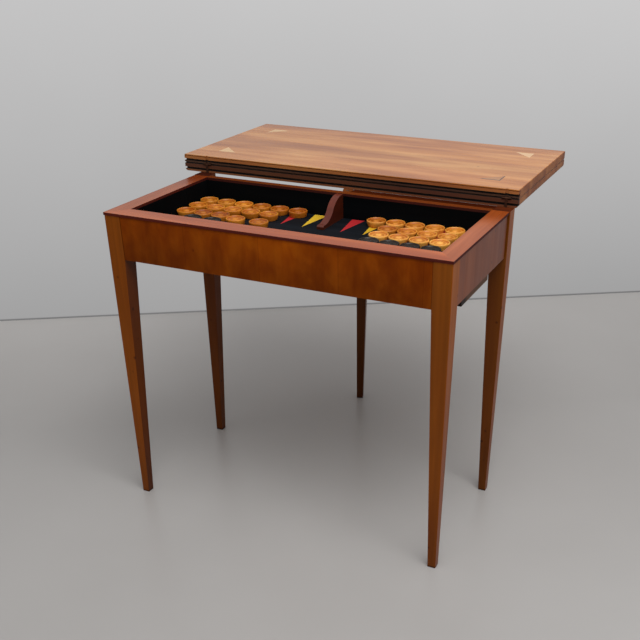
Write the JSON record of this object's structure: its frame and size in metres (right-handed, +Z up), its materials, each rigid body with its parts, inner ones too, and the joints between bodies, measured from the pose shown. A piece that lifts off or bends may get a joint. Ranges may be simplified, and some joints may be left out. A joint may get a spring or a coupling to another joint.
{
  "type": "folding game table",
  "caption": "Folding game table on tapered legs: lined backgammon well with points, divider and draughtsmen, hinged double top with inlaid chessboard, swing-out gate leg.",
  "frame": {"origin": "on the floor, under the middle of the table with its top turned back", "axes": "+X along the table to the right, +Y from the front to the turned-back top, +Z up"},
  "size_m": [0.89, 0.8456, 0.7812],
  "materials": {
    "apron_veneer": "figured cherry veneer, satin polish",
    "leg_veneer": "cherry veneer, satin polish",
    "rim_veneer": "cherry crossbanding, satin polish",
    "top_veneer": "streaked cherry veneer, satin polish",
    "carcass_wood": "plain softwood, unpolished",
    "black_lining": "black stain, matt",
    "well_ground": "blue-black paint, matt",
    "red_paint": "red stain, matt",
    "yellow_paint": "mustard stain, matt",
    "divider_wood": "red-brown polish",
    "light_men": "honey polish",
    "dark_men": "black polish",
    "light_inlay": "maple veneer, satin polish",
    "dark_inlay": "dark walnut veneer, satin polish",
    "hinge_steel": "blackened steel",
    "pin_steel": "bare steel"
  },
  "bodies": {
    "frame": {"front_apron": "apron_veneer", "left_apron": "apron_veneer", "right_apron": "apron_veneer", "outer_rear_rail": "apron_veneer", "front_left_leg": "leg_veneer", "front_right_leg": "leg_veneer", "rear_left_leg": "leg_veneer", "rear_right_leg": "leg_veneer", "front_rim": "rim_veneer", "left_rim": "rim_veneer", "right_rim": "rim_veneer", "rear_rim": "rim_veneer", "inner_rear_rail": "carcass_wood", "well_floor": "carcass_wood", "front_floor_bearer": "carcass_wood", "rear_floor_bearer": "carcass_wood", "glue_blocks": "carcass_wood", "left_batten": "carcass_wood", "right_batten": "carcass_wood", "front_lining": "black_lining", "back_lining": "black_lining", "left_lining": "black_lining", "right_lining": "black_lining", "well_cloth": "well_ground", "red_points": "red_paint", "yellow_points": "yellow_paint", "divider": "divider_wood", "light_draughtsmen": "light_men", "dark_draughtsmen": "dark_men", "hinge_posts": "hinge_steel", "gate_pin": "pin_steel", "hinge_pins": "pin_steel"},
    "gate": {"fly_rail": "apron_veneer", "gate_leg": "leg_veneer"},
    "outer_leaf": {"outer_leaf_board": "top_veneer", "outer_leaf_light_squares": "light_inlay", "outer_leaf_dark_squares": "dark_inlay", "outer_leaf_stringing": "light_inlay", "outer_leaf_hinge_plates": "hinge_steel"},
    "inner_leaf": {"inner_leaf_board": "top_veneer", "inner_leaf_light_squares": "light_inlay", "inner_leaf_dark_squares": "dark_inlay", "inner_leaf_stringing": "light_inlay", "corner_inlays": "light_inlay", "inner_leaf_hinge_plates": "hinge_steel"}
  },
  "joints": [
    {"name": "gate_swing", "type": "hinge", "parent": "frame", "child": "gate", "pos_m": [0.026, -0.023, 0.69], "axis": [0, 0, -1], "range_deg": [-73, 17]},
    {"name": "outer_leaf_turn", "type": "hinge", "parent": "frame", "child": "outer_leaf", "pos_m": [0, -0.0118, 0.76075], "axis": [1, 0, 0], "range_deg": [0, 180]},
    {"name": "inner_leaf_turn", "type": "hinge", "parent": "outer_leaf", "child": "inner_leaf", "pos_m": [0, -0.0118, 0.76075], "axis": [1, 0, 0], "range_deg": [0, 180]}
  ]
}
